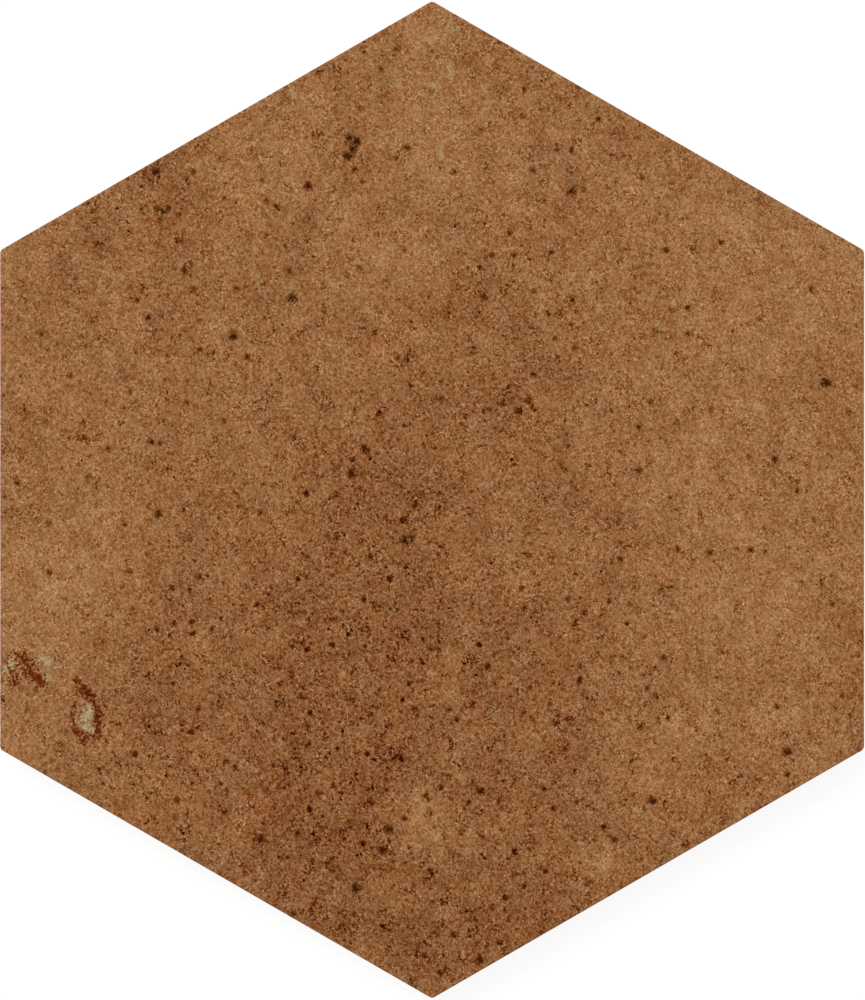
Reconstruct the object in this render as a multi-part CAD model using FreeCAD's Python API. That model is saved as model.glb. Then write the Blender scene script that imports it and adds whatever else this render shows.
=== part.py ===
import FreeCAD, Part
import math
import os

# Hexagon floor tile, dry-pressed from clay powder and fired in one piece.
# The frame's origin is the middle of the back face, where the tile lies on its bed.
# +Z points out of the walking face, +Y goes through a corner and +X through the middle of a side.

# The body, in millimetres and degrees
ACROSS_FLATS = 240.0  # between two opposite sides of the walking face
THICKNESS = 10.0  # from the back ribs to the walking face
CORNER_RADIUS = 1.2  # the six upright corners, as the die rounds them
ARRIS_RADIUS = 0.5  # the eased edge round the walking face
LEAN_HEIGHT = 4.4  # from the back up to where the leaning wall turns into the upright joint band
DRAFT_ANGLE = 3.0  # lean of that lower wall, which frees the tile from the die
BACK_BEVEL = 0.6  # 45 degree bevel where the wall meets the back

# The keying relief of the back: a honeycomb of shallow pockets that the bedding mortar fills
POCKET_ACROSS_FLATS = 16.5  # a pocket's mouth
POCKET_DEPTH = 0.8
POCKET_CORNER_SETBACK = 1.2  # how far along its sides a short flat cuts each corner of the mouth off
POCKET_DRAFT = 35.0  # lean of a pocket's walls from upright
RIB_WIDTH = 2.8  # between the mouths of two neighbouring pockets
BORDER_WIDTH = 9.0  # least width of the plain border round the pockets
PLAIN_RINGS = 1  # rings of cells round the middle one that stay plain, as a pad

# Hexagon angles and the limits that keep rounded edges sound when a size changes
SIDES = 6
HALF_SIDE_ANGLE = math.pi / SIDES
BODY_FIRST_SIDE = 0.0  # the angle that the first side of the body faces
POCKET_FIRST_SIDE = HALF_SIDE_ANGLE  # a pocket is turned by half a side against the body
FILLET_LIMIT = 0.45  # the arris is at most this share of the corner radius and of the joint band
LEAST_CORNER = 0.1  # an outline that moves inwards keeps at least this share of its corner radius
CUTTER_OVERSHOOT = 0.5  # how far a pocket's cutter starts outside the back


def corner_ends(inradius, setback, z, first_side):
    """For each corner of a hexagon at height z, where its outline leaves the sides that meet there."""
    corner_at = inradius / math.cos(HALF_SIDE_ANGLE)
    ends = []
    for side in range(SIDES):
        angle = first_side + (2 * side + 1) * HALF_SIDE_ANGLE
        corner = FreeCAD.Vector(corner_at * math.cos(angle), corner_at * math.sin(angle), z)
        back_along = angle - HALF_SIDE_ANGLE - math.pi / 2
        on_along = angle + HALF_SIDE_ANGLE + math.pi / 2
        start = corner + FreeCAD.Vector(math.cos(back_along), math.sin(back_along), 0) * setback
        end = corner + FreeCAD.Vector(math.cos(on_along), math.sin(on_along), 0) * setback
        ends.append((start, end))
    return ends


def rounded_hexagon(inradius, corner_radius, z):
    """A hexagon outline of the body at height z, with rounded corners."""
    setback = corner_radius * math.tan(HALF_SIDE_ANGLE)
    arc_middle_at = corner_radius + (inradius - corner_radius) / math.cos(HALF_SIDE_ANGLE)
    ends = corner_ends(inradius, setback, z, BODY_FIRST_SIDE)
    edges = []
    for side in range(SIDES):
        start, end = ends[side]
        next_start = ends[(side + 1) % SIDES][0]
        angle = BODY_FIRST_SIDE + (2 * side + 1) * HALF_SIDE_ANGLE
        arc_middle = FreeCAD.Vector(arc_middle_at * math.cos(angle), arc_middle_at * math.sin(angle), z)
        edges.append(Part.Arc(start, arc_middle, end).toShape())
        edges.append(Part.LineSegment(end, next_start).toShape())
    return Part.Wire(edges)


def clipped_corners(inradius, z):
    """A pocket's outline points at height z: a hexagon whose corners are cut off as the mouth's are."""
    setback = POCKET_CORNER_SETBACK * inradius / (POCKET_ACROSS_FLATS / 2)
    points = []
    for start, end in corner_ends(inradius, setback, z, POCKET_FIRST_SIDE):
        points.append(start)
        points.append(end)
    return points


def inset_radius(radius, inset):
    """The radius of a rounded corner once its outline has moved inwards, never quite sharp."""
    return max(radius - inset, LEAST_CORNER * radius)


def draft_inset():
    """How far the leaning wall has moved in where it reaches the bevel."""
    return (LEAN_HEIGHT - BACK_BEVEL) * math.tan(math.radians(DRAFT_ANGLE))


def back_inradius():
    """Half the distance between two opposite edges of the back face."""
    return ACROSS_FLATS / 2 - draft_inset() - BACK_BEVEL


def joint_band():
    """The upright band under the walking face, with the edge of that face eased."""
    height = THICKNESS - LEAN_HEIGHT
    foot = rounded_hexagon(ACROSS_FLATS / 2, CORNER_RADIUS, LEAN_HEIGHT)
    band = Part.Face(foot).extrude(FreeCAD.Vector(0, 0, height))
    above_middle = LEAN_HEIGHT + height / 2
    rim = [edge for edge in band.Edges if min(vertex.Z for vertex in edge.Vertexes) > above_middle]
    radius = min(ARRIS_RADIUS, FILLET_LIMIT * CORNER_RADIUS, FILLET_LIMIT * height)
    return band.makeFillet(radius, rim)


def leaning_foot():
    """The lower part of the body: the wall that leans in from the joint band, and the bevel to the back."""
    inradius = ACROSS_FLATS / 2
    top = rounded_hexagon(inradius, CORNER_RADIUS, LEAN_HEIGHT)
    wall_radius = inset_radius(CORNER_RADIUS, draft_inset())
    wall_end = rounded_hexagon(inradius - draft_inset(), wall_radius, BACK_BEVEL)
    back_radius = inset_radius(wall_radius, BACK_BEVEL)
    back = rounded_hexagon(back_inradius(), back_radius, 0.0)
    return Part.makeLoft([back, wall_end, top], True, True)


def flat_face(points):
    """The flat face inside a closed run of points."""
    return Part.Face(Part.makePolygon(points + points[:1]))


def pocket_cutter():
    """The space of one pocket at the middle of the back, with its walls carried on past the back."""
    lean = math.tan(math.radians(POCKET_DRAFT))
    mouth = clipped_corners(POCKET_ACROSS_FLATS / 2 + CUTTER_OVERSHOOT * lean, -CUTTER_OVERSHOOT)
    floor = clipped_corners(POCKET_ACROSS_FLATS / 2 - POCKET_DEPTH * lean, POCKET_DEPTH)
    faces = [flat_face(mouth[::-1]), flat_face(floor)]
    for here in range(len(mouth)):
        following = (here + 1) % len(mouth)
        faces.append(flat_face([mouth[here], mouth[following], floor[following], floor[here]]))
    shell = Part.Shell(faces)
    shell.sewShape()
    return Part.Solid(shell)


def pocket_places():
    """The honeycomb's centres: as many whole rings of cells as the border allows, less the plain pad."""
    pitch = POCKET_ACROSS_FLATS + RIB_WIDTH
    ring_step = pitch * math.cos(HALF_SIDE_ANGLE)
    pocket_reach = POCKET_ACROSS_FLATS / 2 / math.cos(HALF_SIDE_ANGLE)
    rings = int((back_inradius() - BORDER_WIDTH - pocket_reach) / ring_step)
    places = []
    for column in range(-rings, rings + 1):
        for row in range(-rings, rings + 1):
            ring = max(abs(column), abs(row), abs(column + row))
            if PLAIN_RINGS < ring <= rings:
                places.append(FreeCAD.Vector(ring_step * column, pitch * (row + column / 2), 0))
    return places


def keying_relief():
    """Every pocket's space, each in its place."""
    pocket = pocket_cutter()
    pockets = []
    for place in pocket_places():
        copy = pocket.copy()
        copy.translate(place)
        pockets.append(copy)
    return pockets


def floor_tile():
    """The finished tile: joint band and leaning foot in one piece, with every pocket cut into the back."""
    body = joint_band().fuse(leaning_foot()).removeSplitter()
    return body.cut(keying_relief())


os.makedirs("parts", exist_ok=True)
tile = floor_tile()
tile.exportStep("parts/floor_tile.step")
print("pockets", len(pocket_places()), "solids", len(tile.Solids), "valid", tile.isValid())
print("volume in cubic centimetres", round(tile.Volume / 1000, 2))
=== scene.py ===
import math

import bpy
import numpy as np
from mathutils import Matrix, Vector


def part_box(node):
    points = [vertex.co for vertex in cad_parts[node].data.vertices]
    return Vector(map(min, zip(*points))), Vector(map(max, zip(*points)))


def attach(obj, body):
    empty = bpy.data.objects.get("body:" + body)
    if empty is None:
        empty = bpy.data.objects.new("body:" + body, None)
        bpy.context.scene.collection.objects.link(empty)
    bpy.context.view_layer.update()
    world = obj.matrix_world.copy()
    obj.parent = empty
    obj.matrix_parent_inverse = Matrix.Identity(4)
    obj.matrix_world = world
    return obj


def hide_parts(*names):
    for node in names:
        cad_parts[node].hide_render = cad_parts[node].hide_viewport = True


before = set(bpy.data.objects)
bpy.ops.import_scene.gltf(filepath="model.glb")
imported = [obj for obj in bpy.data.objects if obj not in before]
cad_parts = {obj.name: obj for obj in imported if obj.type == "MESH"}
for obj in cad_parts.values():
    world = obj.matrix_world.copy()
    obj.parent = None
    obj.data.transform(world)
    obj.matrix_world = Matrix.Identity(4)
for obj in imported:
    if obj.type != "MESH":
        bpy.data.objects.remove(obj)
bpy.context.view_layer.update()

# A hexagon floor tile of fired clay, lying on its back. Its walking face is mottled, grained and
# spotted with iron, and its back has a honeycomb of shallow pockets for the mortar.

MM = 0.001
NODE = "floor_tile"
tile_low, tile_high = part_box(NODE)

# Sizes of the tile, in metres: those over all come from the frame
SIDES = 6
HALF_SIDE_ANGLE = math.pi / SIDES
HALF_FLATS = (tile_high.x - tile_low.x) / 2
CORNER_TO_CORNER = 2 * HALF_FLATS / math.cos(HALF_SIDE_ANGLE)
FACE_HEIGHT = tile_high.z
CORNER_RADIUS = 1.2 * MM
CORNER_STEPS = 3
ARRIS_RADIUS = 0.5 * MM
ARRIS_STEPS = 4
LEAN_HEIGHT = 4.4 * MM
LEAN_INSET = 0.2 * MM
BACK_BEVEL = 0.6 * MM
BAND_STEPS = 3
FACE_CELLS = 96  # along one side of the walking face, before it is refined round its spots
REFINE_MARGINS = (0.9, 0.35)  # how far past a spot's reach each division goes, as shares of that reach

# Unevenness of the walking face
WAVE_LENGTH = 45 * MM
WAVE_DEPTH = 0.22 * MM
WAVE_FADE = 14 * MM
PIT_DEPTH = 0.22 * MM
ASH_PIT = 0.5  # how much shallower the pale ash lies

# How near two places or directions are the same one, and a margin that is less than any detail
NEAR = 0.001 * MM
MERGE_WITHIN = 0.01 * MM
SAME_DIRECTION = math.radians(0.01)
MARGIN = 0.1 * MM

# The keying relief of the back
POCKET_ACROSS_FLATS = 16.5 * MM
POCKET_DEPTH = 0.8 * MM
POCKET_INSET = 0.56 * MM
POCKET_CORNER_SETBACK = 1.2 * MM
CELL_CORNER_STEPS = 2
POCKET_EDGE_RADIUS = 0.2 * MM
POCKET_EDGE_STEPS = 2
GAP_SIDES = 3 * (CELL_CORNER_STEPS + 1)  # of the small gap left where three rounded cells meet
RIB_WIDTH = 2.8 * MM
CELL_PITCH = POCKET_ACROSS_FLATS + RIB_WIDTH
POCKET_RINGS = 6
PLAIN_RINGS = 1

# The map that the surface is baked on, in shares of its width: the walking face at the upper left,
# the back at the lower right, and the six walls as strips at the right
FACE_MAP_HEIGHT = 0.80
FACE_MAP_CENTRE = (0.352, 0.595)
BACK_MAP_HEIGHT = 0.44
BACK_MAP_CENTRE = (0.804, 0.225)
FIRST_STRIP = 0.985
STRIP_STEP = 0.045
STRIP_MIDDLE = 0.72
FACES_UP = 0.7  # a face whose normal rises more than this belongs to the walking face
FACES_DOWN = -0.3  # and one whose normal falls below this belongs to the back

# The photograph's frame, in pixels, and where the tile lies in it
PHOTO_WIDTH = 865
PHOTO_HEIGHT = 1000
TILE_CENTRE_X = 432.05
TILE_CENTRE_Y = 499.73
TILE_WIDTH = 864.2
METRES_PER_PIXEL = 2 * HALF_FLATS / TILE_WIDTH


def tile_place(pixel_x, pixel_y):
    """The place on the walking face, in metres, that a pixel of the photograph shows."""
    across = (pixel_x - TILE_CENTRE_X) * METRES_PER_PIXEL
    up = (TILE_CENTRE_Y - pixel_y) * METRES_PER_PIXEL
    return across, up


# What the firing left on the walking face. Each place is a pixel of the photograph.

# Iron that melted out of the clay: small spots with a ragged edge
BOLD_SPOT_REACH = 1.95 * MM
BOLD_SPOTS = (
    (350, 139), (356, 141), (354, 148), (348, 156), (233, 336), (365, 449), (352, 474), (572, 191),
    (826, 383), (519, 411), (158, 514), (261, 839), (389, 830), (356, 888), (480, 791), (652, 801),
    (787, 752), (479, 960), (405, 540), (292, 298), (156, 172), (383, 850),
)
SPOT_REACH = 1.4 * MM
SPOT_STRENGTH = 0.76
SPOTS = (
    (193, 172), (187, 179), (157, 209), (164, 212), (168, 208), (160, 219), (404, 818), (354, 914),
    (184, 271), (236, 289), (290, 272), (308, 186), (375, 332), (360, 268), (407, 148), (397, 48),
    (411, 386), (84, 438), (108, 449), (150, 442), (88, 477), (18, 483), (306, 494), (336, 495),
    (293, 437), (70, 376), (41, 333), (97, 244), (277, 207), (137, 300), (148, 318), (193, 290),
    (247, 357), (532, 170), (572, 150), (721, 242), (551, 253), (548, 314), (484, 298), (510, 233),
    (514, 255), (599, 119), (481, 130), (454, 172), (688, 308), (688, 333), (639, 427), (533, 375),
    (529, 400), (502, 403), (490, 410), (441, 399), (565, 469), (639, 470), (776, 459), (798, 491),
    (811, 289), (575, 348), (667, 250), (415, 505), (49, 523), (49, 573), (130, 572), (198, 576),
    (190, 591), (172, 588), (174, 624), (212, 629), (268, 628), (337, 539), (306, 557), (370, 557),
    (423, 640), (430, 648), (415, 709), (370, 715), (281, 683), (292, 677), (226, 761), (266, 789),
    (220, 784), (226, 812), (298, 833), (340, 831), (371, 801), (319, 793), (316, 840), (430, 871),
    (311, 910), (293, 914), (383, 927), (424, 956), (411, 980), (710, 553), (750, 550), (529, 556),
    (568, 600), (524, 608), (575, 624), (585, 613), (627, 623), (663, 658), (655, 696), (648, 688),
    (581, 666), (580, 682), (549, 704), (524, 712), (555, 723), (568, 719), (640, 727), (457, 719),
    (449, 710), (473, 704), (565, 749), (441, 787), (554, 808), (788, 774), (777, 707), (462, 833),
    (615, 840), (591, 881), (452, 934), (492, 908), (500, 943), (430, 873), (355, 170), (404, 521),
    (411, 537),
)
# Iron that turned to rust
RED_REACH = 1.8 * MM
RED_SPOTS = (
    (317, 134), (314, 902), (333, 619), (686, 844), (308, 186), (427, 797), (429, 814),
)
# Iron that stayed under the surface, and shows soft and smoky
SMOKE_REACH = 1.7 * MM
SMOKE_SPOTS = (
    (61, 296), (643, 204), (300, 612), (174, 777), (836, 596), (369, 507), (421, 497), (394, 563),
    (405, 832), (472, 784), (158, 245),
)
# Flecks and short streaks of pale grit
GRIT_REACH = 1.9 * MM
GRIT_FLECKS = (
    (335, 196), (398, 84), (367, 309), (434, 86), (512, 207), (599, 407), (599, 306), (657, 323),
    (343, 674), (473, 887), (637, 809), (301, 622),
)
GRIT_STROKES = (
    (1.9 * MM, 1.0, ((450, 66), (452, 77))),
    (1.6 * MM, 1.0, ((441, 147), (441, 158))),
    (1.7 * MM, 0.9, ((290, 87), (294, 96))),
    (1.5 * MM, 0.9, ((254, 246), (255, 253))),
    (1.4 * MM, 0.8, ((251, 271), (256, 278), (259, 289))),
    (1.2 * MM, 0.9, ((642, 299), (650, 299))),
    (3.6 * MM, 0.62, ((416, 797), (423, 806), (421, 818))),
    (2.4 * MM, 0.62, ((430, 826), (436, 838))),
    (0.9 * MM, 1.0, ((631, 633), (631, 642), (633, 650))),
    (0.9 * MM, 1.0, ((536, 735), (540, 740))),
)

# Where rust has crusted round two spots of pale ash near the left corner: half the width of each
# stroke of it, its strength and the pixels it runs through
RUST_STROKES = (
    (3.2 * MM, 1.0, ((24, 660), (29, 667))),
    (3.0 * MM, 1.0, ((30, 671), (33, 677), (39, 680))),
    (2.2 * MM, 1.5, ((36, 678), (41, 682))),
    (2.8 * MM, 0.75, ((14, 673), (15, 681))),
    (1.5 * MM, 1.0, ((77, 680), (80, 685))),
    (2.5 * MM, 1.0, ((82, 689), (88, 695))),
    (1.5 * MM, 1.0, ((92, 696), (95, 705), (98, 712))),
    (2.0 * MM, 1.0, ((98, 715), (99, 727), (97, 735))),
    (1.6 * MM, 1.0, ((75, 731), (80, 734), (85, 737), (84, 742))),
    (1.4 * MM, 0.9, ((92, 736), (97, 738))),
    (1.2 * MM, 0.62, ((76, 690), (75, 699), (74, 711), (73, 726))),
)
ASH_STROKES = (
    (1.5 * MM, 1.0, ((89, 705), (89, 712))),
    (3.0 * MM, 1.0, ((88, 714), (84, 720))),
    (2.4 * MM, 0.95, ((82, 722), (86, 727), (92, 730))),
    (2.2 * MM, 0.8, ((12, 664), (7, 670))),
    (2.1 * MM, 0.8, ((38, 660), (44, 659), (49, 663))),
    (1.9 * MM, 0.8, ((47, 675), (48, 678))),
    (1.2 * MM, 0.8, ((77, 709), (83, 710))),
)

# Broad shade of the fired surface: a blot's pixel, its reach and how much it lightens
BLOTS = (
    (375, 740, 42 * MM, -0.040), (330, 850, 14 * MM, -0.030), (335, 700, 10 * MM, -0.022),
    (350, 790, 9 * MM, -0.018), (415, 512, 7 * MM, -0.050), (360, 470, 9 * MM, -0.030),
    (380, 570, 14 * MM, -0.022), (300, 610, 9 * MM, -0.020), (500, 395, 12 * MM, -0.030),
    (480, 300, 10 * MM, -0.022), (430, 420, 9 * MM, -0.018), (155, 620, 10 * MM, -0.026),
    (170, 720, 12 * MM, -0.024), (575, 900, 10 * MM, -0.034), (430, 950, 14 * MM, -0.022),
    (500, 930, 14 * MM, -0.020), (560, 740, 12 * MM, -0.012), (590, 620, 9 * MM, -0.015),
    (150, 165, 6 * MM, -0.045), (343, 145, 6 * MM, -0.030), (313, 222, 5 * MM, -0.022),
    (95, 210, 5 * MM, -0.020), (70, 290, 5 * MM, -0.020), (830, 385, 6 * MM, -0.025),
    (25, 730, 8 * MM, 0.020), (430, 820, 6 * MM, 0.030), (432, 30, 10 * MM, 0.018),
    (270, 140, 14 * MM, 0.035), (455, 130, 14 * MM, 0.040), (370, 260, 14 * MM, 0.022),
    (800, 330, 22 * MM, 0.032), (740, 250, 14 * MM, 0.015), (690, 490, 12 * MM, 0.028),
    (65, 590, 18 * MM, 0.042), (740, 640, 20 * MM, 0.022), (840, 550, 14 * MM, 0.015),
    (60, 370, 18 * MM, 0.012), (20, 250, 12 * MM, 0.016), (660, 200, 20 * MM, 0.012),
    (603, 860, 3 * MM, 0.100), (424, 812, 5 * MM, 0.060),
)


def distance_to_line(points, start, end):
    """How far each point lies from a straight line between two places, seen from above."""
    start = np.array(start)
    along = np.array(end) - start
    share = np.clip(((points[:, :2] - start) @ along) / (along @ along), 0, 1)
    nearest = start + share[:, None] * along
    return np.hypot(*(points[:, :2] - nearest).T)


def distance_to_spot(points, pixel):
    """How far each point lies from the place of a pixel, seen from above."""
    across, up = tile_place(*pixel)
    return np.hypot(points[:, 0] - across, points[:, 1] - up)


def spot_field(points, pixels, reach, strength=1.0):
    """A cone on every spot: its strength at the middle, and below zero past its reach."""
    field = np.full(len(points), -1.0)
    for pixel in pixels:
        field = np.maximum(field, strength * (1 - distance_to_spot(points, pixel) / reach))
    return field


def stroke_field(points, strokes):
    """The same along strokes, each of its own half width and strength."""
    field = np.full(len(points), -1.0)
    for reach, strength, pixels in strokes:
        places = [tile_place(*pixel) for pixel in pixels]
        for start, end in zip(places, places[1:]):
            distance = distance_to_line(points, start, end)
            field = np.maximum(field, strength * (1 - distance / reach))
    return field


def iron_field(points):
    bold = spot_field(points, BOLD_SPOTS, BOLD_SPOT_REACH)
    return np.maximum(bold, spot_field(points, SPOTS, SPOT_REACH, SPOT_STRENGTH))


def rust_field(points):
    return np.maximum(stroke_field(points, RUST_STROKES), spot_field(points, RED_SPOTS, RED_REACH))


def ash_field(points):
    return stroke_field(points, ASH_STROKES)


def grit_field(points):
    flecks = spot_field(points, GRIT_FLECKS, GRIT_REACH)
    return np.maximum(flecks, stroke_field(points, GRIT_STROKES))


def smoke_field(points):
    return spot_field(points, SMOKE_SPOTS, SMOKE_REACH)


def broad_tone(points):
    """How much lighter or darker the firing left each point, from soft round blots."""
    tone = np.zeros(len(points))
    for pixel_x, pixel_y, reach, lighter in BLOTS:
        distance = distance_to_spot(points, (pixel_x, pixel_y))
        tone += lighter * np.exp(-((distance / reach) ** 2) / 2)
    return tone


FIELDS = {
    "iron": iron_field,
    "rust": rust_field,
    "ash": ash_field,
    "grit": grit_field,
    "smoke": smoke_field,
    "tone": broad_tone,
}


# Choosing and editing


def choose(piece):
    """Makes one piece the only chosen object."""
    bpy.ops.object.select_all(action="DESELECT")
    piece.select_set(True)
    bpy.context.view_layer.objects.active = piece


def edit(piece, kind):
    """Opens a piece in edit mode with nothing selected. kind is VERT, EDGE or FACE."""
    choose(piece)
    bpy.ops.object.mode_set(mode="EDIT")
    bpy.ops.mesh.select_mode(type=kind)
    bpy.ops.mesh.select_all(action="DESELECT")


def close_edit():
    bpy.ops.object.mode_set(mode="OBJECT")


def read_parts(parts, name, width, kind=float):
    """One row of values for each vertex, edge, face or face corner of a mesh."""
    flat = np.empty(len(parts) * width, dtype=kind)
    parts.foreach_get(name, flat)
    return flat.reshape(-1, width)


def points_of(piece):
    return read_parts(piece.data.vertices, "co", 3)


def edge_ends_of(piece):
    """The two vertex numbers of every edge."""
    return read_parts(piece.data.edges, "vertices", 2, np.int32)


def face_centres_of(piece):
    return read_parts(piece.data.polygons, "center", 3)


def select_parts(piece, kind, wanted):
    """Opens the piece in edit mode with only the wanted parts selected. kind is VERT, EDGE or FACE."""
    mesh = piece.data
    edit(piece, kind)
    close_edit()
    parts = {"VERT": mesh.vertices, "EDGE": mesh.edges, "FACE": mesh.polygons}[kind]
    parts.foreach_set("select", wanted)
    bpy.ops.object.mode_set(mode="EDIT")


def side_reach(points, first_side=0.0):
    """How far each point lies out towards the nearest side of a hexagon round the middle."""
    reach = np.zeros(len(points))
    for side in range(SIDES):
        angle = first_side + 2 * side * HALF_SIDE_ANGLE
        reach = np.maximum(reach, points[:, 0] * math.cos(angle) + points[:, 1] * math.sin(angle))
    return reach


# The tile's body


def wall_profile():
    """The wall from the walking face down to the back, as pairs of inset and height."""
    profile = []
    for step in range(1, ARRIS_STEPS + 1):
        turn = math.pi / 2 * step / ARRIS_STEPS
        inset = ARRIS_RADIUS * (1 - math.sin(turn))
        height = FACE_HEIGHT - ARRIS_RADIUS * (1 - math.cos(turn))
        profile.append((inset, height))
    band_top = FACE_HEIGHT - ARRIS_RADIUS
    for step in range(1, BAND_STEPS + 1):
        profile.append((0.0, band_top + (LEAN_HEIGHT - band_top) * step / BAND_STEPS))
    profile.append((LEAN_INSET, BACK_BEVEL))
    profile.append((LEAN_INSET + BACK_BEVEL, 0.0))
    return profile


def pressed_body():
    """The walking face as a fine net of triangles, with the walls drawn down from its rim."""
    inradius = HALF_FLATS - ARRIS_RADIUS
    bpy.ops.object.select_all(action="DESELECT")
    bpy.ops.mesh.primitive_circle_add(
        vertices=SIDES,
        radius=inradius / math.cos(HALF_SIDE_ANGLE),
        fill_type="TRIFAN",
        location=(0, 0, FACE_HEIGHT),
    )
    body = bpy.context.object
    body.name = "fired_tile"
    bpy.ops.object.transform_apply(location=True, rotation=True, scale=True)
    bpy.ops.object.mode_set(mode="EDIT")
    bpy.ops.mesh.select_mode(type="FACE")
    bpy.ops.mesh.select_all(action="SELECT")
    bpy.ops.mesh.subdivide(number_cuts=FACE_CELLS - 1)
    bpy.ops.mesh.region_to_loop()
    height = FACE_HEIGHT
    for inset, next_height in wall_profile():
        next_inradius = HALF_FLATS - inset
        scale = next_inradius / inradius
        bpy.ops.mesh.extrude_region_move(
            TRANSFORM_OT_translate={"value": (0, 0, next_height - height)}
        )
        bpy.ops.transform.resize(value=(scale, scale, 1), center_override=(0, 0, 0))
        inradius = next_inradius
        height = next_height
    close_edit()
    return body


def round_corners(body):
    """Bevels the six upright corners, from the arris to the back."""
    points = points_of(body)
    ends = edge_ends_of(body)
    side_angle = 2 * HALF_SIDE_ANGLE
    turn = np.arctan2(points[:, 0], points[:, 1]) % side_angle
    on_corner_line = np.minimum(turn, side_angle - turn) < SAME_DIRECTION
    out_at_wall = side_reach(points) > HALF_FLATS - ARRIS_RADIUS - BACK_BEVEL - LEAN_INSET - MARGIN
    at_corner = on_corner_line & out_at_wall
    below_face = points[:, 2] < FACE_HEIGHT - NEAR
    wanted = at_corner[ends].all(axis=1) & below_face[ends].any(axis=1)
    select_parts(body, "EDGE", wanted)
    bpy.ops.mesh.bevel(
        offset_type="OFFSET",
        offset=CORNER_RADIUS * math.tan(HALF_SIDE_ANGLE),
        segments=CORNER_STEPS,
        affect="EDGES",
        clamp_overlap=False,
    )
    close_edit()
    face_points = points_of(body)[:, 2] > FACE_HEIGHT - MERGE_WITHIN
    select_parts(body, "VERT", face_points)
    bpy.ops.transform.resize(value=(1, 1, 0), center_override=(0, 0, FACE_HEIGHT))
    close_edit()


# The keying relief of the back


def rounded_cell():
    """A flat hexagon of the honeycomb with rounded corners, at the middle of the back."""
    bpy.ops.object.select_all(action="DESELECT")
    bpy.ops.mesh.primitive_circle_add(
        vertices=SIDES,
        radius=CELL_PITCH / 2 / math.cos(HALF_SIDE_ANGLE),
        fill_type="NGON",
        rotation=(0, 0, HALF_SIDE_ANGLE),
    )
    cell = bpy.context.object
    bpy.ops.object.transform_apply(location=True, rotation=True, scale=True)
    bpy.ops.object.mode_set(mode="EDIT")
    bpy.ops.mesh.select_mode(type="VERT")
    bpy.ops.mesh.select_all(action="SELECT")
    bpy.ops.mesh.bevel(
        offset_type="OFFSET",
        offset=POCKET_CORNER_SETBACK + RIB_WIDTH / 2 * math.tan(HALF_SIDE_ANGLE),
        segments=CELL_CORNER_STEPS,
        affect="VERTICES",
    )
    close_edit()
    return cell


def pocket_cell():
    """One cell of the honeycomb: the rib round a pocket, and the pocket sunk inside it."""
    cell = rounded_cell()
    foot = 1 - 2 * POCKET_INSET / POCKET_ACROSS_FLATS
    edit(cell, "FACE")
    bpy.ops.mesh.select_all(action="SELECT")
    bpy.ops.mesh.inset(thickness=RIB_WIDTH / 2, depth=0)
    bpy.ops.mesh.extrude_region_move(TRANSFORM_OT_translate={"value": (0, 0, POCKET_DEPTH)})
    bpy.ops.transform.resize(value=(foot, foot, 1), center_override=(0, 0, 0))
    close_edit()
    soften_pocket(cell)
    return cell


def soften_pocket(cell):
    """Rounds the mouth's rim and the foot of the pocket's walls."""
    points = points_of(cell)
    ends = edge_ends_of(cell)
    heights = points[ends][:, :, 2]
    level = np.abs(heights[:, 0] - heights[:, 1]) < NEAR
    reach = side_reach(points, HALF_SIDE_ANGLE)
    in_pocket = reach < POCKET_ACROSS_FLATS / 2 + NEAR
    select_parts(cell, "EDGE", level & in_pocket[ends].all(axis=1))
    bpy.ops.mesh.bevel(
        offset_type="OFFSET",
        offset=POCKET_EDGE_RADIUS,
        segments=POCKET_EDGE_STEPS,
        affect="EDGES",
    )
    close_edit()


def honeycomb():
    """All the cells of the back in their places, joined to one sheet."""
    pocket = pocket_cell()
    plain = rounded_cell()
    cells = []
    for column in range(-POCKET_RINGS, POCKET_RINGS + 1):
        for row in range(-POCKET_RINGS, POCKET_RINGS + 1):
            ring = max(abs(column), abs(row), abs(column + row))
            if ring > POCKET_RINGS:
                continue
            pattern = plain if ring <= PLAIN_RINGS else pocket
            cell = pattern.copy()
            cell.data = pattern.data.copy()
            across = CELL_PITCH * math.cos(HALF_SIDE_ANGLE) * column
            cell.location = (across, CELL_PITCH * (row + column / 2), 0)
            bpy.context.scene.collection.objects.link(cell)
            cells.append(cell)
    for pattern in (pocket, plain):
        bpy.data.objects.remove(pattern)
    choose(cells[0])
    for cell in cells:
        cell.select_set(True)
    bpy.ops.object.transform_apply(location=True, rotation=True, scale=True)
    bpy.ops.object.join()
    sheet = bpy.context.object
    edit(sheet, "VERT")
    bpy.ops.mesh.select_all(action="SELECT")
    bpy.ops.mesh.remove_doubles(threshold=MERGE_WITHIN)
    bpy.ops.mesh.select_all(action="SELECT")
    bpy.ops.mesh.fill_holes(sides=GAP_SIDES)
    close_edit()
    return sheet


def close_back(body, sheet):
    """Joins the honeycomb to the body, and fills the plain border between its edge and the wall's foot."""
    choose(body)
    sheet.select_set(True)
    bpy.ops.object.join()
    edit(body, "EDGE")
    bpy.ops.mesh.select_non_manifold(
        use_wire=False, use_boundary=True, use_multi_face=False, use_non_contiguous=False, use_verts=False
    )
    bpy.ops.mesh.fill(use_beauty=True)
    bpy.ops.mesh.select_all(action="SELECT")
    bpy.ops.mesh.normals_make_consistent(inside=False)
    close_edit()


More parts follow.
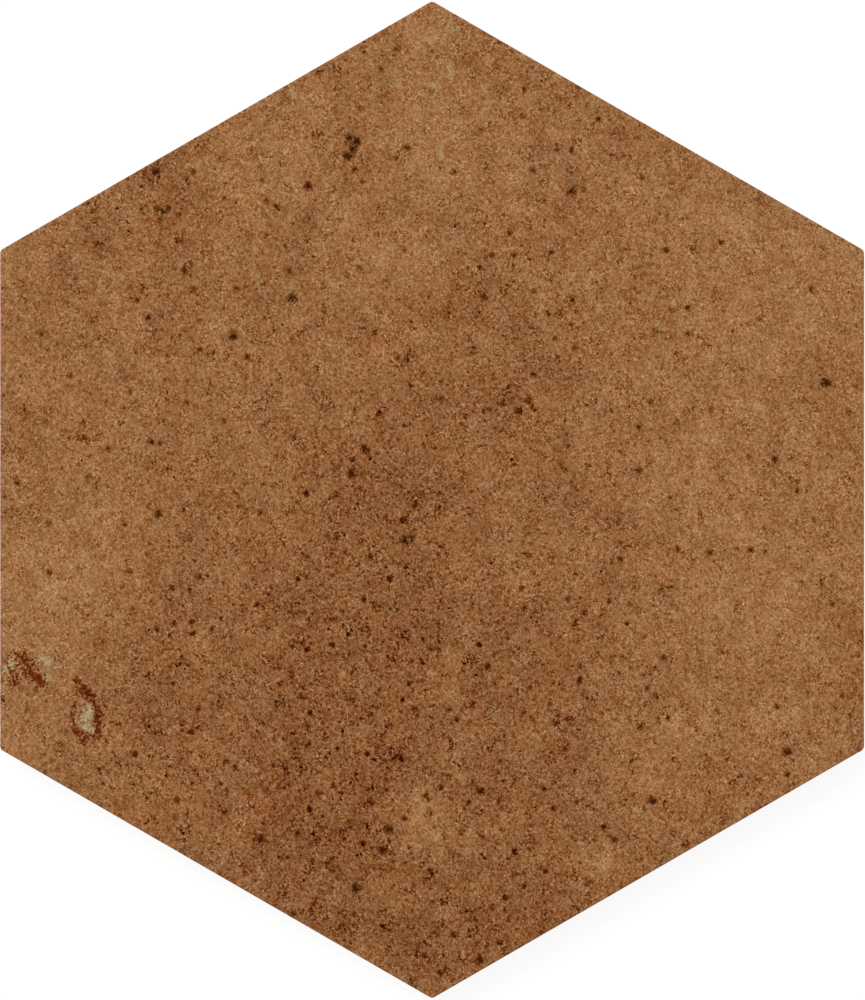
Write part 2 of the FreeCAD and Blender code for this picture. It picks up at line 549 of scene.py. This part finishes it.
def refine_spots(body):
    """Divides the walking face finely where it is spotted, so that pits and stains keep their shape.

    The grit is soft, so it needs the first division only.
    """
    for level, margin in enumerate(REFINE_MARGINS):
        centres = face_centres_of(body)
        on_face = centres[:, 2] > FACE_HEIGHT - NEAR
        marked = np.maximum(iron_field(centres), rust_field(centres))
        marked = np.maximum(marked, ash_field(centres))
        if level == 0:
            marked = np.maximum(marked, grit_field(centres))
        wanted = on_face & (marked > -margin)
        select_parts(body, "FACE", wanted)
        bpy.ops.mesh.subdivide(number_cuts=1)
        close_edit()
    top = face_centres_of(body)[:, 2] > FACE_HEIGHT - NEAR
    select_parts(body, "FACE", top)
    bpy.ops.mesh.quads_convert_to_tris()
    close_edit()


def weigh(body, name, weights):
    """A vertex group that holds each point's share of a modifier's effect."""
    group = body.vertex_groups.new(name=name)
    for point in np.nonzero(weights > 0)[0]:
        group.add([int(point)], float(weights[point]), "REPLACE")


def press_down(body, name, depth, weights, pattern=None):
    """Lowers points of the walking face by up to the depth, and never raises one."""
    weigh(body, name, weights)
    choose(body)
    lowering = body.modifiers.new(name, "DISPLACE")
    lowering.direction = "Z"
    lowering.strength = -depth
    lowering.mid_level = 0.0
    lowering.vertex_group = name
    lowering.texture = pattern
    lowering.texture_coords = "LOCAL"
    bpy.ops.object.modifier_apply(modifier=name)


def warp_face(body):
    """The slight waves that drying and firing left in the walking face, which fade out at its rim."""
    waves = bpy.data.textures.new("firing_waves", "CLOUDS")
    waves.noise_scale = WAVE_LENGTH
    points = points_of(body)
    on_face = points[:, 2] > FACE_HEIGHT - NEAR
    from_rim = HALF_FLATS - ARRIS_RADIUS - side_reach(points)
    press_down(body, "waves", WAVE_DEPTH, on_face * np.clip(from_rim / WAVE_FADE, 0, 1), waves)


def pit_face(body):
    """Sinks the iron spots into shallow pits, and roughens the rust that crusted in its own hollows."""
    points = points_of(body)
    on_face = points[:, 2] > FACE_HEIGHT - WAVE_DEPTH - NEAR
    pits = np.maximum(iron_field(points), rust_field(points))
    pits = np.maximum(pits, ash_field(points) * ASH_PIT)
    from_rim = HALF_FLATS - ARRIS_RADIUS - side_reach(points)
    inside = np.clip(from_rim / SPOT_REACH, 0, 1)
    press_down(body, "pits", PIT_DEPTH, on_face * inside * np.clip(pits, 0, 1))


def paint_fields(body):
    """Stores each field of the walking face on the mesh, for its material."""
    points = points_of(body)
    for name, field in FIELDS.items():
        layer = body.data.attributes.new(name, "FLOAT", "POINT")
        on_face = points[:, 2] > FACE_HEIGHT - ARRIS_RADIUS
        layer.data.foreach_set("value", np.where(on_face, field(points), 0).astype(np.float32))


def hexagon_map(points, height, centre, mirrored):
    """Where points lie on the map, seen along the tile's axis and drawn so many shares of the map high."""
    scale = height / CORNER_TO_CORNER
    across = -scale if mirrored else scale
    return np.array(centre) + points[:, :2] * (across, scale)


def strip_map(points, facing, side):
    """Where points of the walls lie on the map: one upright strip for each side, beside the walking face."""
    scale = FACE_MAP_HEIGHT / CORNER_TO_CORNER
    along = points[:, 1] * facing[:, 0] - points[:, 0] * facing[:, 1]
    inset = HALF_FLATS - (points[:, :2] * facing).sum(axis=1)
    left = FIRST_STRIP - STRIP_STEP * side
    return np.stack([left - scale * (points[:, 2] + inset), STRIP_MIDDLE + scale * along], axis=1)


def map_surface(body):
    """Lays the whole surface out on one square map for baking, with the walking face largest."""
    mesh = body.data
    corners = read_parts(mesh.loops, "vertex_index", 1, np.int32)[:, 0]
    counts = read_parts(mesh.polygons, "loop_total", 1, np.int32)[:, 0]
    normals = np.repeat(read_parts(mesh.polygons, "normal", 3), counts, axis=0)
    points = points_of(body)[corners]
    angles = 2 * HALF_SIDE_ANGLE * np.arange(SIDES)
    outward = np.stack([np.cos(angles), np.sin(angles)])
    side = np.argmax(normals[:, :2] @ outward, axis=1)
    places = strip_map(points, outward[:, side].T, side)
    upward = normals[:, 2] > FACES_UP
    places[upward] = hexagon_map(points[upward], FACE_MAP_HEIGHT, FACE_MAP_CENTRE, False)
    downward = normals[:, 2] < FACES_DOWN
    places[downward] = hexagon_map(points[downward], BACK_MAP_HEIGHT, BACK_MAP_CENTRE, True)
    layer = mesh.uv_layers.new(name="OFBake")
    layer.uv.foreach_set("vector", places.ravel())


tile = pressed_body()
round_corners(tile)
refine_spots(tile)
close_back(tile, honeycomb())
map_surface(tile)
paint_fields(tile)
warp_face(tile)
pit_face(tile)


# Nodes

# What noise gives on average, and how much of it each finer layer of its detail keeps
NOISE_MEAN = 0.5
NOISE_ROUGHNESS = 0.5

# Edges of masks: the value at which each begins and the value at which it is full
SPECK_EDGE = (1.0, 0.35)
STAIN_EDGE = (-0.30, 0.50)
PAINTED_EDGE = (0.0, 0.2)
STAIN_THRESHOLD = 0.45
STAIN_DETAIL = 1.0

# The press cloth's streaks: how wide they are, and how each way of them is drawn out
STREAK_WIDTH = 1.0
STREAK_STRETCHES = ((0.18, 2.2, 1.0), (2.2, 0.18, 1.0))


def feed(tree, node, feeds):
    """Gives inputs of a node their values, or links them to the outputs that feed them."""
    for socket, value in feeds.items():
        if isinstance(value, bpy.types.NodeSocket):
            tree.links.new(value, node.inputs[socket])
        else:
            node.inputs[socket].default_value = value


def add_node(tree, kind, feeds=None, **settings):
    """Adds a node. feeds gives each of its inputs a value, or the output that feeds it."""
    node = tree.nodes.new("ShaderNode" + kind)
    for setting, value in settings.items():
        setattr(node, setting, value)
    feed(tree, node, feeds or {})
    return node


def calculate(tree, operation, first, second=0.0, third=0.0):
    """One sum on single values."""
    return add_node(tree, "Math", {0: first, 1: second, 2: third}, operation=operation).outputs[0]


def calculate_vector(tree, operation, first, second=(0, 0, 0), third=(0, 0, 0)):
    """One sum on three values at once."""
    feeds = {0: first, 1: second, 2: third}
    return add_node(tree, "VectorMath", feeds, operation=operation).outputs["Vector"]


def ease(tree, value, none_at, all_at):
    """A mask that rises softly from nothing to everything between two values."""
    feeds = {"Value": value, "From Min": none_at, "From Max": all_at}
    return add_node(tree, "MapRange", feeds, interpolation_type="SMOOTHSTEP").outputs["Result"]


def noise(tree, place, cell, detail=0.0):
    """Cloudy noise about 0, with features about as wide as the cell."""
    scale = calculate(tree, "DIVIDE", 1.0, cell)
    feeds = {"Vector": place, "Scale": scale, "Detail": detail, "Roughness": NOISE_ROUGHNESS}
    cloud = add_node(tree, "TexNoise", feeds)
    return calculate(tree, "SUBTRACT", cloud.outputs[0], NOISE_MEAN)


def new_group(name, inputs, output):
    """An empty node group with its inputs and its one output, and the nodes inside that stand for them."""
    group = bpy.data.node_groups.new(name, "ShaderNodeTree")
    for socket, kind, value in inputs:
        made = group.interface.new_socket(socket, in_out="INPUT", socket_type="NodeSocket" + kind)
        if value is not None:
            made.default_value = value
    group.interface.new_socket(output, in_out="OUTPUT", socket_type="NodeSocketFloat")
    given = group.nodes.new("NodeGroupInput").outputs
    result = group.nodes.new("NodeGroupOutput").inputs[output]
    return group, given, result


def place_group(tree, group, feeds):
    """Puts a node group into a material with its own values, and gives its one output."""
    node = tree.nodes.new("ShaderNodeGroup")
    node.node_tree = group
    feed(tree, node, feeds)
    return node.outputs[0]


def grain_group():
    """Clay grain of one size: how much lighter or darker it makes each place."""
    inputs = (("Place", "Vector", None), ("Cell", "Float", 1.0), ("Contrast", "Float", 0.1))
    group, given, result = new_group("clay_grain", inputs, "Shade")
    cloud = noise(group, given["Place"], given["Cell"])
    group.links.new(calculate(group, "MULTIPLY", cloud, given["Contrast"]), result)
    return group


def specks_group():
    """Specks of iron strewn through the clay: where they show at a cut through it."""
    inputs = (
        ("Place", "Vector", None),
        ("Spacing", "Float", 2.0),
        ("Radius", "Float", 0.4),
        ("Raggedness", "Float", 0.5),
    )
    group, given, result = new_group("iron_specks", inputs, "Mask")
    scale = calculate(group, "DIVIDE", 1.0, given["Spacing"])
    cells = add_node(group, "TexVoronoi", {"Vector": given["Place"], "Scale": scale})
    distance = calculate(group, "MULTIPLY", cells.outputs["Distance"], given["Spacing"])
    wobble = noise(group, given["Place"], given["Radius"])
    wobble = calculate(group, "MULTIPLY", wobble, given["Raggedness"])
    distance = calculate(group, "ADD", calculate(group, "DIVIDE", distance, given["Radius"]), wobble)
    group.links.new(ease(group, distance, *SPECK_EDGE), result)
    return group


def ragged_group():
    """The ragged stain that a painted spot or stroke leaves, once the clay's grain has broken its edge."""
    inputs = (
        ("Field", "Float", 0.0),
        ("Place", "Vector", None),
        ("Cell", "Float", 0.6),
        ("Raggedness", "Float", 1.0),
    )
    group, given, result = new_group("ragged_stain", inputs, "Mask")
    broken = noise(group, given["Place"], given["Cell"], STAIN_DETAIL)
    broken = calculate(group, "MULTIPLY", broken, given["Raggedness"])
    field = calculate(group, "ADD", given["Field"], broken)
    field = calculate(group, "SUBTRACT", field, STAIN_THRESHOLD)
    stained = ease(group, field, *STAIN_EDGE)
    near = ease(group, given["Field"], *PAINTED_EDGE)
    group.links.new(calculate(group, "MULTIPLY", stained, near), result)
    return group


def streaks_group():
    """Faint straight streaks both ways, from the cloth that lined the press."""
    inputs = (("Place", "Vector", None), ("Contrast", "Float", 0.01))
    group, given, result = new_group("press_streaks", inputs, "Shade")
    shades = []
    for stretch in STREAK_STRETCHES:
        place = calculate_vector(group, "MULTIPLY", given["Place"], stretch)
        shades.append(noise(group, place, STREAK_WIDTH))
    streaks = calculate(group, "ADD", *shades)
    group.links.new(calculate(group, "MULTIPLY", streaks, given["Contrast"]), result)
    return group


GRAIN = grain_group()
SPECKS = specks_group()
RAGGED = ragged_group()
STREAKS = streaks_group()

# The clay. Colours are as they look, from 0 to 1 in red, green and blue, and so is every shade that
# is added to one. Widths and places in the clay are in millimetres.

SHOWN_GAMMA = 2.2
FACE_CLAY = (0.616, 0.429, 0.276)
BISCUIT_CLAY = (0.632, 0.446, 0.296)
DARKEST = (0.06, 0.03, 0.0)
SHINE = 0.05  # the shader's specular level

# The tints in which shades of each kind are added
TONE_TINT = (1.06, 1.09, 0.88)
SHADE_TINT = (1.0, 1.04, 1.0)
GREY_TINT = (1.05, 1.10, 1.15)
DRIFT_TINT = (0.75, -0.25, -0.30)
SPECK_TINT = (1.0, 0.95, 0.90)
# the tint of the painted shade on the floors of the back's pockets
POCKET_PAINTED_SHADE_TINT = (0.85, 1.0, 1.0)

# How the grain is drawn out in the clay and turned, so that none of it lines up with the faces, and
# where in the clay the biscuit's grain and the drifts of hue are cut
GRAIN_STRETCH = (1.03, 0.97, 1.0)
GRAIN_TURN = (0.7, 0.4, 0.9)
BISCUIT_SHIFT = (61.0, 137.0, 93.0)
DRIFT_SHIFT = (300.0, 0.0, 0.0)

# Grain: the width of its features, and its contrast
FINE_GRAIN = ((0.28, 0.275), (0.50, 0.265))
MIDDLE_GRAIN = ((0.9, 0.18), (1.8, 0.085))
BROAD_GRAIN = ((4.0, 0.08), (9.0, 0.07), (20.0, 0.045))
DRIFT_GRAIN = ((1.6, 0.028), (5.0, 0.04), (14.0, 0.028))
PRESS_CONTRAST = 0.03

# Dark grains of iron: their width, and how much darker they are
DARK_GRAINS = ((0.55, 0.10), (0.85, 0.08), (1.4, 0.045))
DARK_GRAIN_EDGE = (0.03, -0.24)

# Rounder specks of iron: how far apart, their radius, and how much darker they are
CROWDED_SPECKS = ((1.45, 0.52, 0.15), (2.3, 0.70, 0.14))
LONE_SPECKS = ((4.2, 0.80, 0.13), (7.5, 1.20, 0.20))

# Patches in which the grain is coarser and the iron crowds: they lie where their noise is low
PATCH_WIDTH = 3.4
PATCH_DETAIL = 1.5
PATCH_EDGE = (0.0, -0.28)
FACE_CROWDING = 0.45  # the least there is between the patches
BISCUIT_CROWDING = 0.35
COARSER_IN_PATCHES = -2.2
COARSER_WHERE_DARK = -1.2

# The walking face: how strongly its painted tone shows, and how much iron a dark tone brings
TONE_STRENGTH = 0.68
IRON_SHARE = 0.85
IRON_WHERE_DARK = -10.0
LEAST_IRON = 0.4
MOST_IRON = 1.5

# Its painted stains: the colour, how strongly it covers, and how coarsely and how raggedly it breaks up
STAINS = {
    "smoke": ((0.40, 0.29, 0.19), 0.55, 0.8, 1.0),
    "ash": ((0.70, 0.64, 0.49), 0.90, 0.8, 1.6),
    "grit": ((0.67, 0.54, 0.37), 0.95, 0.8, 1.0),
    "rust": ((0.37, 0.14, 0.035), 0.90, 0.75, 3.4),
    "iron": ((0.205, 0.105, 0.01), 0.90, 0.8, 1.6),
}
IRON_HALO = (0.42, 0.23, 0.09)
HALO_STRENGTH = 0.42
HALO_EDGE = (-0.15, 0.65)
GRAIN_HIDDEN = 0.6  # how much of the grain iron and rust hide
GRIT_COVER = 0.7  # how much of that the grit does

# Its roughness and its fine relief
FACE_ROUGHNESS = 0.78
ROUGHNESS_PATCH = 3.0
ROUGHNESS_DETAIL = 3.0
ROUGHNESS_CHANGE = 0.35
PIT_RELIEF = 0.3
FACE_RELIEF_STRENGTH = 0.3
FACE_RELIEF_DEPTH = 0.1 * MM

# The biscuit: heights above the bed between which each zone of it comes in
WALL_HEIGHTS = (1.0, 1.5)
POCKET_HEIGHTS = (0.25, 0.7)
DUST_HEIGHTS = (0.45, 0.05)
# Painted shade: how much darker the floors of the back's pockets are made, as shade in these shallow hollows
POCKET_PAINTED_SHADE = -0.045

# Upright streaks that the die dragged into the walls
DRAG_STRETCH = (1.0, 1.0, 0.12)
DRAG_STREAKS = ((0.35, 0.10), (1.3, 0.08), (5.0, 0.06))

# The darker flash of the kiln along the top of the walls, with a wavy lower edge
FLASH_HEIGHTS = (6.8, 9.8)
FLASH_WAVE = 6.0
FLASH_SHADE = -0.07

# Dust of the kiln shelf on the ribs
DUST = (0.74, 0.65, 0.53)
DUST_STRENGTH = 0.62
DUST_WEAR = ((0.8, 0.5), (9.0, 0.7), (40.0, 0.7))
DUST_EDGE = (-0.10, 0.16)

BISCUIT_ROUGHNESS = 0.88
STREAK_RELIEF = 2.5
SPECK_RELIEF = -1.5
BISCUIT_RELIEF_STRENGTH = 0.5
BISCUIT_RELIEF_DEPTH = 0.2 * MM


def add_shade(tree, colour, shade, tint):
    """Adds a shade to a colour, in the tint given."""
    layer = add_node(tree, "VectorMath", {0: tint, "Scale": shade}, operation="SCALE")
    return calculate_vector(tree, "ADD", colour, layer.outputs["Vector"])


def cover(tree, colour, mask, strength, stain_colour):
    """Mixes a stain's colour in by a mask."""
    amount = calculate(tree, "MULTIPLY", mask, strength)
    mixed = add_node(tree, "Mix", {0: amount, 4: colour, 5: stain_colour}, data_type="VECTOR")
    return mixed.outputs[1]


def attribute(tree, name):
    return add_node(tree, "Attribute", attribute_name=name).outputs["Fac"]


def new_material(name, shift=(0, 0, 0)):
    """A material with its tree, its shader, and the place on the object in millimetres.

    The place comes twice: straight, and turned askew into the clay.
    """
    material = bpy.data.materials.new(name)
    material.use_nodes = True
    tree = material.node_tree
    tree.nodes.clear()
    shader = tree.nodes.new("ShaderNodeBsdfPrincipled")
    output = tree.nodes.new("ShaderNodeOutputMaterial")
    tree.links.new(shader.outputs["BSDF"], output.inputs["Surface"])
    local = tree.nodes.new("ShaderNodeTexCoord").outputs["Object"]
    place = calculate_vector(tree, "MULTIPLY", local, (1 / MM, 1 / MM, 1 / MM))
    drawn = calculate_vector(tree, "MULTIPLY", place, GRAIN_STRETCH)
    feeds = {"Vector": drawn, "Rotation": GRAIN_TURN}
    askew = add_node(tree, "VectorRotate", feeds, rotation_type="EULER_XYZ").outputs["Vector"]
    return material, tree, shader, place, calculate_vector(tree, "ADD", askew, shift)


def grain_layers(tree, place, layers):
    """The shade of several sizes of grain together."""
    total = None
    for cell, contrast in layers:
        shade = place_group(tree, GRAIN, {"Place": place, "Cell": cell, "Contrast": contrast})
        total = shade if total is None else calculate(tree, "ADD", total, shade)
    return total


def clay_ground(tree, askew, clay, tone=0.0):
    """A clay's own colour with its tone, its broad and middling grain, and its drifts of hue."""
    broad = calculate(tree, "ADD", grain_layers(tree, askew, BROAD_GRAIN), tone)
    colour = add_shade(tree, clay, broad, TONE_TINT)
    colour = add_shade(tree, colour, grain_layers(tree, askew, MIDDLE_GRAIN), SHADE_TINT)
    drift_place = calculate_vector(tree, "ADD", askew, DRIFT_SHIFT)
    return add_shade(tree, colour, grain_layers(tree, drift_place, DRIFT_GRAIN), DRIFT_TINT)


def crowding_of(tree, patches, least):
    """How densely the iron crowds: fully in the patches, and the least given between them."""
    return calculate(tree, "ADD", ease(tree, patches, *PATCH_EDGE), least)


def dark_specks(tree, place, sizes, total):
    """Adds how much darker round specks of several sizes make each place."""
    for spacing, radius, depth in sizes:
        mask = place_group(tree, SPECKS, {"Place": place, "Spacing": spacing, "Radius": radius})
        total = calculate(tree, "MULTIPLY_ADD", mask, depth, total)
    return total


def iron_shade(tree, place, crowding):
    """How much darker all the iron in the clay makes each place. It crowds in patches."""
    grains = 0.0
    for cell, depth in DARK_GRAINS:
        mask = ease(tree, noise(tree, place, cell), *DARK_GRAIN_EDGE)
        grains = calculate(tree, "MULTIPLY_ADD", mask, depth, grains)
    crowded = dark_specks(tree, place, CROWDED_SPECKS, grains)
    return dark_specks(tree, place, LONE_SPECKS, calculate(tree, "MULTIPLY", crowded, crowding))


def darken(tree, colour, iron):
    """Takes the shade of the iron away from a colour."""
    return add_shade(tree, colour, calculate(tree, "MULTIPLY", iron, -1.0), SPECK_TINT)


def paint_stain(tree, colour, place, name):
    """Lays one painted stain over a colour. Gives the new colour and the stain's mask."""
    stain_colour, strength, cell, raggedness = STAINS[name]
    feeds = {"Field": attribute(tree, name), "Place": place, "Cell": cell, "Raggedness": raggedness}
    mask = place_group(tree, RAGGED, feeds)
    return cover(tree, colour, mask, strength, stain_colour), mask


def finish_clay(tree, shader, colour):
    """Feeds the shader its colour, kept above the darkest iron, and fired clay's faint shine."""
    colour = calculate_vector(tree, "MAXIMUM", colour, DARKEST)
    linear = add_node(tree, "Gamma", {"Color": colour, "Gamma": SHOWN_GAMMA}).outputs[0]
    tree.links.new(linear, shader.inputs["Base Color"])
    shader.inputs["Specular IOR Level"].default_value = SHINE


def add_relief(tree, shader, height, strength, depth):
    """Roughens the surface by a height."""
    bump = add_node(tree, "Bump", {"Height": height, "Strength": strength, "Distance": depth})
    tree.links.new(bump.outputs["Normal"], shader.inputs["Normal"])


def iron_in_tone(tree, tone):
    """How much of the clay's iron shows: more where the face is dark, within limits."""
    share = calculate(tree, "MULTIPLY_ADD", tone, IRON_WHERE_DARK, IRON_SHARE)
    share = calculate(tree, "MAXIMUM", share, LEAST_IRON)
    return calculate(tree, "MINIMUM", share, MOST_IRON)


def face_coarseness(tree, patches, tone):
    """How coarse the fine grain of the walking face is: more in the patches and where it is dark."""
    coarseness = calculate(tree, "MULTIPLY_ADD", patches, COARSER_IN_PATCHES, 1.0)
    return calculate(tree, "MULTIPLY_ADD", tone, COARSER_WHERE_DARK, coarseness)


def face_stains(tree, colour, askew):
    """Lays every stain on the walking face. Gives the colour, and the masks of the grit, rust and iron."""
    colour = paint_stain(tree, colour, askew, "smoke")[0]
    colour = paint_stain(tree, colour, askew, "ash")[0]
    colour, grit = paint_stain(tree, colour, askew, "grit")
    colour, rust = paint_stain(tree, colour, askew, "rust")
    halo = ease(tree, attribute(tree, "iron"), *HALO_EDGE)
    colour = cover(tree, colour, halo, HALO_STRENGTH, IRON_HALO)
    colour, iron = paint_stain(tree, colour, askew, "iron")
    return colour, grit, rust, iron


def walking_face_material():
    """The mottled, spotted and grained clay that is walked on."""
    material, tree, shader, place, askew = new_material("walking_face_clay")
    tone = attribute(tree, "tone")
    patches = noise(tree, askew, PATCH_WIDTH, PATCH_DETAIL)
    shown_tone = calculate(tree, "MULTIPLY", tone, TONE_STRENGTH)
    colour = clay_ground(tree, askew, FACE_CLAY, shown_tone)
    colour, grit, rust, iron = face_stains(tree, colour, askew)

    covered = calculate(tree, "MAXIMUM", iron, rust)
    covered = calculate(tree, "MAXIMUM", covered, calculate(tree, "MULTIPLY", grit, GRIT_COVER))
    bare = calculate(tree, "MULTIPLY_ADD", covered, -GRAIN_HIDDEN, 1.0)
    fine = grain_layers(tree, askew, FINE_GRAIN)
    fine = calculate(tree, "MULTIPLY", fine, face_coarseness(tree, patches, tone))
    streaks = place_group(tree, STREAKS, {"Place": place, "Contrast": PRESS_CONTRAST})
    grain = calculate(tree, "MULTIPLY", calculate(tree, "ADD", fine, streaks), bare)
    colour = add_shade(tree, colour, grain, GREY_TINT)

    specks = iron_shade(tree, askew, crowding_of(tree, patches, FACE_CROWDING))
    specks = calculate(tree, "MULTIPLY", specks, iron_in_tone(tree, tone))
    colour = darken(tree, colour, calculate(tree, "MULTIPLY", specks, bare))
    finish_clay(tree, shader, colour)

    unevenness = noise(tree, askew, ROUGHNESS_PATCH, ROUGHNESS_DETAIL)
    roughness = calculate(tree, "MULTIPLY_ADD", unevenness, ROUGHNESS_CHANGE, FACE_ROUGHNESS)
    tree.links.new(roughness, shader.inputs["Roughness"])
    height = calculate(tree, "SUBTRACT", fine, calculate(tree, "MULTIPLY", iron, PIT_RELIEF))
    add_relief(tree, shader, height, FACE_RELIEF_STRENGTH, FACE_RELIEF_DEPTH)
    return material


def biscuit_material():
    """The bare clay of the joints and the back, streaked by the die and dusted by the kiln shelf, with
    painted shade in the pockets of the back.
    """
    material, tree, shader, place, askew = new_material("biscuit_clay", BISCUIT_SHIFT)
    height = add_node(tree, "SeparateXYZ", {"Vector": place}).outputs["Z"]
    on_wall = ease(tree, height, *WALL_HEIGHTS)
    in_pocket = calculate(tree, "SUBTRACT", ease(tree, height, *POCKET_HEIGHTS), on_wall)
    patches = noise(tree, askew, PATCH_WIDTH, PATCH_DETAIL)

    colour = clay_ground(tree, askew, BISCUIT_CLAY)
    # Painted shade: the pockets of the back are darkened a little, as if shade lay in them
    pocket_painted_shade = calculate(tree, "MULTIPLY", in_pocket, POCKET_PAINTED_SHADE)
    colour = add_shade(tree, colour, pocket_painted_shade, POCKET_PAINTED_SHADE_TINT)
    upright = calculate_vector(tree, "MULTIPLY", place, DRAG_STRETCH)
    streaks = calculate(tree, "MULTIPLY", grain_layers(tree, upright, DRAG_STREAKS), on_wall)
    colour = add_shade(tree, colour, streaks, GREY_TINT)
    wavy_height = calculate(tree, "MULTIPLY_ADD", patches, FLASH_WAVE, height)
    flash = calculate(tree, "MULTIPLY", ease(tree, wavy_height, *FLASH_HEIGHTS), FLASH_SHADE)
    colour = add_shade(tree, colour, flash, SPECK_TINT)

    worn = calculate(tree, "ADD", grain_layers(tree, askew, DUST_WEAR), patches)
    on_ribs = ease(tree, height, *DUST_HEIGHTS)
    dust = calculate(tree, "MULTIPLY", ease(tree, worn, *DUST_EDGE), on_ribs)
    colour = cover(tree, colour, dust, DUST_STRENGTH, DUST)

    fine = grain_layers(tree, askew, FINE_GRAIN)
    colour = add_shade(tree, colour, fine, GREY_TINT)
    specks = iron_shade(tree, askew, crowding_of(tree, patches, BISCUIT_CROWDING))
    finish_clay(tree, shader, darken(tree, colour, specks))

    shader.inputs["Roughness"].default_value = BISCUIT_ROUGHNESS
    relief = calculate(tree, "MULTIPLY_ADD", streaks, STREAK_RELIEF, fine)
    relief = calculate(tree, "MULTIPLY_ADD", specks, SPECK_RELIEF, relief)
    add_relief(tree, shader, relief, BISCUIT_RELIEF_STRENGTH, BISCUIT_RELIEF_DEPTH)
    return material


SHARP_ABOVE = 30  # degrees between two faces from which their edge stays sharp


def dress(body):
    """Gives the walking face its own material, and the bare biscuit to the rest."""
    body.data.materials.append(biscuit_material())
    body.data.materials.append(walking_face_material())
    mesh = body.data
    on_top = face_centres_of(body)[:, 2] > FACE_HEIGHT - ARRIS_RADIUS
    mesh.polygons.foreach_set("material_index", on_top.astype(np.int32))
    mesh.update()
    choose(body)
    bpy.ops.object.shade_smooth_by_angle(angle=math.radians(SHARP_ABOVE))


dress(tile)
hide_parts(NODE)
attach(tile, "root")

# The studio. Its lengths are in metres too.

LENS = 200 * MM
SENSOR = 36 * MM
FARTHEST_SEEN = 100
DOME_LIGHT = 0.62
KEY_LIGHT = 1.55
KEY_SOFTNESS = 40  # degrees that the key spans
KEY_TURN = (-35, -35, 0)  # degrees
FLOOR_SIZE = 30
FLOOR_GLOW = 0.86
FLOOR_SEEN = 0.2
FLOOR_LIT = 0.8
BACKDROP_GLOW = 1.0


def grey(level):
    return (level, level, level, 1)


def place_camera():
    """Looks straight down, so that the tile fills the frame as in the photograph."""
    data = bpy.data.cameras.new("camera")
    data.lens = LENS / MM
    data.sensor_width = SENSOR / MM
    data.clip_end = FARTHEST_SEEN
    camera = bpy.data.objects.new("camera", data)
    bpy.context.scene.collection.objects.link(camera)
    shown_height = PHOTO_HEIGHT * METRES_PER_PIXEL
    off_x = (PHOTO_WIDTH / 2 - TILE_CENTRE_X) * METRES_PER_PIXEL
    off_y = (TILE_CENTRE_Y - PHOTO_HEIGHT / 2) * METRES_PER_PIXEL
    camera.location = (off_x, off_y, FACE_HEIGHT + LENS / SENSOR * shown_height)
    bpy.context.scene.camera = camera


def white_to_camera(tree, output, seen, lit):
    """Shows one shader to the camera and in reflections, and another to the light that bounces."""
    rays = tree.nodes.new("ShaderNodeLightPath").outputs
    shown = calculate(tree, "MAXIMUM", rays["Is Camera Ray"], rays["Is Glossy Ray"])
    shown = calculate(tree, "MAXIMUM", shown, rays["Is Transmission Ray"])
    mix = tree.nodes.new("ShaderNodeMixShader")
    tree.links.new(shown, mix.inputs[0])
    tree.links.new(lit, mix.inputs[1])
    tree.links.new(seen, mix.inputs[2])
    tree.links.new(mix.outputs[0], output.inputs["Surface"])


def light_studio():
    """A pale dome and a large soft key from the upper left, which together show a colour as written."""
    world = bpy.data.worlds.new("studio")
    bpy.context.scene.world = world
    world.use_nodes = True
    tree = world.node_tree
    tree.nodes.clear()
    output = tree.nodes.new("ShaderNodeOutputWorld")
    seen = add_node(tree, "Background", {"Color": grey(1), "Strength": BACKDROP_GLOW}).outputs[0]
    lit = add_node(tree, "Background", {"Color": grey(1), "Strength": DOME_LIGHT}).outputs[0]
    white_to_camera(tree, output, seen, lit)
    key_data = bpy.data.lights.new("key", "SUN")
    key_data.energy = KEY_LIGHT
    key_data.angle = math.radians(KEY_SOFTNESS)
    key = bpy.data.objects.new("key", key_data)
    key.rotation_euler = [math.radians(turn) for turn in KEY_TURN]
    bpy.context.scene.collection.objects.link(key)


def lay_floor():
    """A plain white floor that keeps the tile's soft shadow."""
    bpy.ops.object.select_all(action="DESELECT")
    bpy.ops.mesh.primitive_plane_add(size=FLOOR_SIZE)
    floor = bpy.context.object
    floor.name = "floor"
    material = bpy.data.materials.new("white_floor")
    material.use_nodes = True
    tree = material.node_tree
    tree.nodes.clear()
    output = tree.nodes.new("ShaderNodeOutputMaterial")
    glow = add_node(tree, "Emission", {"Color": grey(1), "Strength": FLOOR_GLOW}).outputs[0]
    dim = add_node(tree, "BsdfDiffuse", {"Color": grey(FLOOR_SEEN)}).outputs[0]
    seen = add_node(tree, "AddShader", {0: glow, 1: dim}).outputs[0]
    lit = add_node(tree, "BsdfDiffuse", {"Color": grey(FLOOR_LIT)}).outputs[0]
    white_to_camera(tree, output, seen, lit)
    floor.data.materials.append(material)


place_camera()
light_studio()
lay_floor()
bpy.context.scene.view_settings.view_transform = "Standard"
